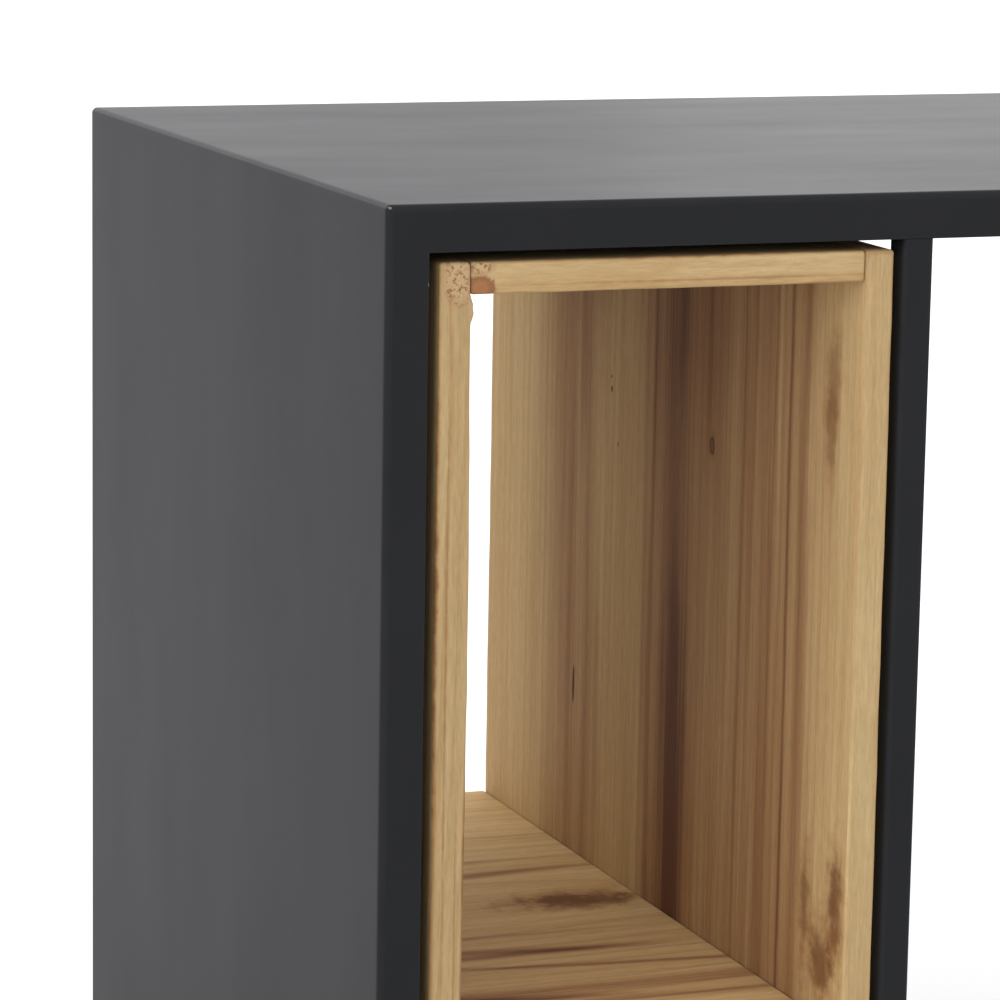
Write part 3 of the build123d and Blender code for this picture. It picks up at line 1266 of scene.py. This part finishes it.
def left_bottom() -> Board:
    """The left box's floor, with wavy streaks across the box.

    Returns:
        The board, ready to build.
    """
    fir = ToastedFir(
        "fir_left_bottom", seed=8.1, ring=0.0075, pith_across=0.02, pith_depth=0.03, slope=0.06,
        # Painted light: the floor's broad faces lightened 1.68 times.
        wander=1.4, scorch=0.12, contrast=0.50, tone=1.68,
        spots=(Spot(Blemish.SCORCH, (40.0, 5.6, 4.75), (34.0, 14.0, 3.5), 1.5, 0.90),),
    )
    bands = (
        Band(-80.0, 60.0, 0.16, power=4.0),
        Band(120.0, 3.0, 0.18, 1.0),
        Band(90.0, 4.0, 0.22, 1.0),
        Band(62.0, 3.2, 0.50, 1.0, end=30.0, fade=14.0),
        Band(47.0, 2.4, 0.24, 1.0),
        Band(26.0, 3.4, 0.62, 1.0, end=42.0, lean=0.08, fade=14.0),
        Band(19.0, 4.0, 0.30, 1.0, end=0.0, fade=14.0),
        Band(5.0, 11.0, 0.30, 1.0, start=2.0, end=62.0, fade=10.0),
        Band(-15.5, 3.2, 0.62, 1.0, end=36.0, lean=-0.15, fade=14.0),
        Band(-27.0, 2.4, 0.46, 1.0, end=20.0, fade=20.0),
        Band(-49.0, 3.2, 0.56, 1.0, end=15.0, fade=14.0),
        Band(-64.0, 1.8, 0.50, 1.0, lean=-0.13),
        Band(-76.0, 3.4, 0.76, 1.0, end=6.0, lean=-0.12, fade=14.0),
        Band(-90.0, 5.0, 0.46, 1.0),
        Band(-105.0, 2.0, 0.40, 1.0),
        Band(-128.0, 4.0, 0.45, 1.0),
    )
    return Board("left_box_bottom_board", GRAIN_ACROSS, fir, bands, across_steps=420, stations=36)


def left_top() -> Board:
    """The left box's top board, with a reddish knot at the end of its front edge.

    Returns:
        The board, ready to build.
    """
    fir = ToastedFir(
        "fir_left_top", seed=11.9, ring=0.0046, pith_across=0.25, pith_depth=0.03, slope=0.012,
        scorch=0.16,
        spots=(
            Spot(Blemish.RED_KNOT, (-59.5, -157.5, -2.8), (5.0, 5.0, 4.0), 0.5, 0.80),
            Spot(Blemish.FILLER, (-60.0, -157.5, 4.0), (5.6, 5.0, 3.6), 0.9, 0.80),
            Spot(Blemish.SCORCH, (5.0, -158.0, 5.0), (75.0, 5.0, 1.2), 1.3, 0.7),
            Spot(Blemish.SCORCH, (12.0, -158.0, -2.3), (70.0, 5.0, 0.7), 1.2, 0.45),
        ),
    )
    bands = (Band(40.0, 14.0, 0.6, 3.0), Band(-60.0, 9.0, 0.5, 2.0))
    return Board("left_box_top_board", GRAIN_ACROSS, fir, bands, stations=36)


def right_box_boards() -> list[Board]:
    """The boards of the right box, cut from the same wood with other streaks.

    Returns:
        The inner side, outer side, bottom and top boards.
    """
    return [
        Board(
            "right_box_inner_side_board",
            GRAIN_UP,
            ToastedFir(
                "fir_right_inner", seed=14.2, ring=0.0048, pith_across=-0.28, slope=0.008, scorch=0.10,
                spots=(Spot(Blemish.KNOT, (-30.0, 12.0, -4.75), (3.2, 1.8, 1.5), 0.25),),
            ),
            (
                Band(30.0, 118.0, 0.25, power=9.0),
                Band(96.0, 10.0, 0.45, 2.0),
                Band(30.0, 2.4, 0.4, 1.0),
                Band(-50.0, 15.0, 0.6, 2.0, power=4.0),
                Band(-110.0, 2.0, 0.5),
            ),
        ),
        Board(
            "right_box_outer_side_board",
            GRAIN_UP,
            ToastedFir(
                "fir_right_outer", seed=17.8, ring=0.0052, pith_across=0.24, pith_depth=0.06,
                slope=0.007, scorch=0.10,
                spots=(Spot(Blemish.KNOT, (62.0, -75.0, -4.75), (3.0, 1.7, 1.5), 0.25),),
            ),
            (
                Band(-20.0, 110.0, 0.24, power=9.0),
                Band(-100.0, 12.0, 0.5, 2.0),
                Band(-40.0, 2.5, 0.4, 1.0),
                Band(35.0, 11.0, 0.6, 2.0, power=4.0),
                Band(120.0, 3.0, 0.4),
            ),
        ),
        Board(
            "right_box_bottom_board",
            GRAIN_ACROSS,
            ToastedFir(
                "fir_right_bottom", seed=21.4, ring=0.0070, pith_across=-0.03, slope=0.05, scorch=0.15
            ),
            (
                Band(70.0, 3.0, 0.5, 1.0),
                Band(15.0, 4.0, 0.6, 1.0, end=20.0),
                Band(-48.0, 3.0, 0.5, 1.0),
                Band(-90.0, 2.5, 0.5, 1.0, lean=0.1),
            ),
            stations=36,
        ),
        Board(
            "right_box_top_board",
            GRAIN_ACROSS,
            ToastedFir(
                "fir_right_top", seed=24.6, ring=0.0044, pith_across=-0.25, slope=0.012, scorch=0.2
            ),
            (Band(-30.0, 12.0, 0.6, 3.0),),
            stations=36,
        ),
    ]


# ---------------------------------------------------------------- studio


def stand(name: str, data: bpy.types.ID, axes: tuple[np.ndarray, ...], place: Point) -> bpy.types.Object:
    """Puts a lamp or a camera in the scene.

    Args:
        name: its name.
        data: the lamp or the camera.
        axes: its right, its up and the way away from what it faces.
        place: where it stands.
    Returns:
        The new object.
    """
    turned = np.eye(4)
    turned[:3] = np.column_stack((*axes, place))
    holder = bpy.data.objects.new(name, data)
    holder.matrix_world = Matrix(turned.tolist())
    bpy.context.scene.collection.objects.link(holder)
    return holder


@dataclass(frozen=True)
class Softbox:
    """A rectangular lamp, by its middle, the point that it faces, its size and its power."""

    name: str
    place: Point
    aim: Point
    size: tuple[float, float]
    watts: float

    def build(self) -> None:
        """Hangs the lamp."""
        lamp = bpy.data.lights.new(self.name, "AREA")
        lamp.shape = "RECTANGLE"
        lamp.size, lamp.size_y = self.size
        lamp.energy = self.watts
        back = np.array(self.place) - np.array(self.aim)
        back = back / np.linalg.norm(back)
        right = np.cross((0.0, 0.0, 1.0), back)
        right = right / np.linalg.norm(right)
        stand(self.name, lamp, (right, np.cross(back, right), back), self.place)


@dataclass(frozen=True)
class Studio:
    """Pale floor, soft lamps and the camera."""

    eye: Point = (-0.8953, -1.2976, 0.4684)
    yaw: float = 20.749
    pitch: float = 10.255
    roll: float = 0.951
    lens: float = 153.28
    floor_half: float = 30.0
    floor_tones: tuple[Colour, Colour] = ((0.44, 0.44, 0.45, 1.0), (0.46, 0.46, 0.47, 1.0))
    floor_light: Colour = (0.99, 0.99, 1.0, 1.0)
    floor_glow: float = 0.60
    air: Colour = (0.985, 0.985, 1.0, 1.0)
    air_glow: float = 1.50
    lamps: tuple[Softbox, ...] = (
        Softbox("back_right", (2.3, 3.6, 1.25), (0.0, 0.0, 0.3), (2.2, 1.0), 4.5),
        Softbox("back_left", (-1.1, 2.7, 1.5), (-0.41, 0.0, 0.1), (1.2, 1.2), 9.0),
        Softbox("front_left", (-2.6, -1.5, 0.9), (-0.4, 0.0, 0.2), (1.4, 1.4), 12.0),
    )

    def build_camera(self) -> None:
        """Places the camera by its turn to the right, its tilt down and its lean."""
        yaw, pitch, roll = (math.radians(a) for a in (self.yaw, self.pitch, self.roll))
        onward = np.array((math.sin(yaw), math.cos(yaw), 0.0))
        ahead = onward * math.cos(pitch) - np.array((0.0, 0.0, math.sin(pitch)))
        level = np.array((math.cos(yaw), -math.sin(yaw), 0.0))
        above = np.cross(level, ahead)
        right = level * math.cos(roll) + above * math.sin(roll)
        up = above * math.cos(roll) - level * math.sin(roll)
        camera = bpy.data.cameras.new("camera")
        camera.lens = self.lens
        camera.clip_end = 200.0
        bpy.context.scene.camera = stand("camera", camera, (right, up, -ahead), self.eye)

    def build_floor(self) -> None:
        """Lays a wide pale floor under the feet."""
        half = self.floor_half
        mesh = bpy.data.meshes.new("floor")
        corners = [(-half, -half, 0), (half, -half, 0), (half, half, 0), (-half, half, 0)]
        mesh.from_pydata(corners, [], [(0, 1, 2, 3)])
        material, bench, shader = new_material("pale_floor")
        place = bench.node("ShaderNodeTexCoord").outputs["Object"]
        tone = bench.noise(place, 0.8, 2.0)
        bench.feed(shader.inputs["Base Color"], bench.blend(tone, *self.floor_tones))
        shader.inputs["Roughness"].default_value = 0.9
        shader.inputs["Emission Color"].default_value = self.floor_light
        shader.inputs["Emission Strength"].default_value = self.floor_glow
        shader.inputs["Specular IOR Level"].default_value = 0.0
        mesh.materials.append(material)
        floor = bpy.data.objects.new("floor", mesh)
        bpy.context.scene.collection.objects.link(floor)

    def build_lamps(self) -> None:
        """Hangs the softboxes and fills the air with even light."""
        world = bpy.data.worlds.new("studio_air")
        world.use_nodes = True
        air = world.node_tree.nodes["Background"]
        air.inputs["Color"].default_value = self.air
        air.inputs["Strength"].default_value = self.air_glow
        bpy.context.scene.world = world
        for lamp in self.lamps:
            lamp.build()

    def build(self) -> None:
        """Sets up the whole studio, with plain colour output."""
        self.build_camera()
        self.build_floor()
        self.build_lamps()
        bpy.context.scene.view_settings.view_transform = "Standard"


# ---------------------------------------------------------------- assembly


def main() -> None:
    """Builds the hutch over the frame, piece by piece."""
    logging.basicConfig(level=logging.INFO, format="%(name)s %(message)s")
    for effect in (build_powder_coat, build_edge_wear, build_handling, build_spot, build_timber):
        effect()
    (left, front, _), (_, _, top) = cad_bounds
    lip_x = node_span("left_side_liner")[1][0]
    corner_nick = Nick(
        (left + 0.9 * MM, front + 0.4 * MM, top - 0.8 * MM), (0.9 * MM, 0.9 * MM, 0.5 * MM)
    )
    lip_nick = Nick((lip_x, front + 0.3 * MM, top - 23.0 * MM), (0.4 * MM, 0.6 * MM, 0.7 * MM))
    skin_paint = PaintedSteel("powder_coat_on_sheet", (corner_nick, lip_nick)).build()
    steel = PaintedSteel("powder_coat_on_tube", peel=0.8, wave=0.3).build()
    zinc = PlainFinish(
        "zinc_plated_steel",
        colour=(0.60, 0.57, 0.48, 1.0),
        mottle=(0.40, 0.37, 0.30, 1.0),
        metallic=1.0,
        roughness=0.34,
        grain=0.004 * MM,
    ).build()
    plastic = PlainFinish(
        "black_glide_plastic",
        colour=(0.018, 0.018, 0.018, 1.0),
        mottle=(0.035, 0.035, 0.035, 1.0),
        metallic=0.0,
        roughness=0.55,
        grain=0.02 * MM,
    ).build()
    Studio().build()
    SteelSkins(skin_paint).build()
    SteelTubes(steel).build()
    plain = ["top_liner", "top_front_tube", "top_rear_tube", "middle_stiffener"]
    for side in SIDES:
        parts = ("stiffener", "front_corner_tube", "rear_corner_tube", "side_liner")
        plain += [f"{side}_{part}" for part in parts]
    for node in plain:
        dress_node(node, steel)
    for node in ("side_glides", "post_plugs"):
        dress_node(node, plastic)
    WoodenBox("left", zinc, [left_inner_side(), left_outer_side(), left_bottom(), left_top()]).build()
    WoodenBox("right", zinc, right_box_boards()).build()


if __name__ == "__main__":
    main()
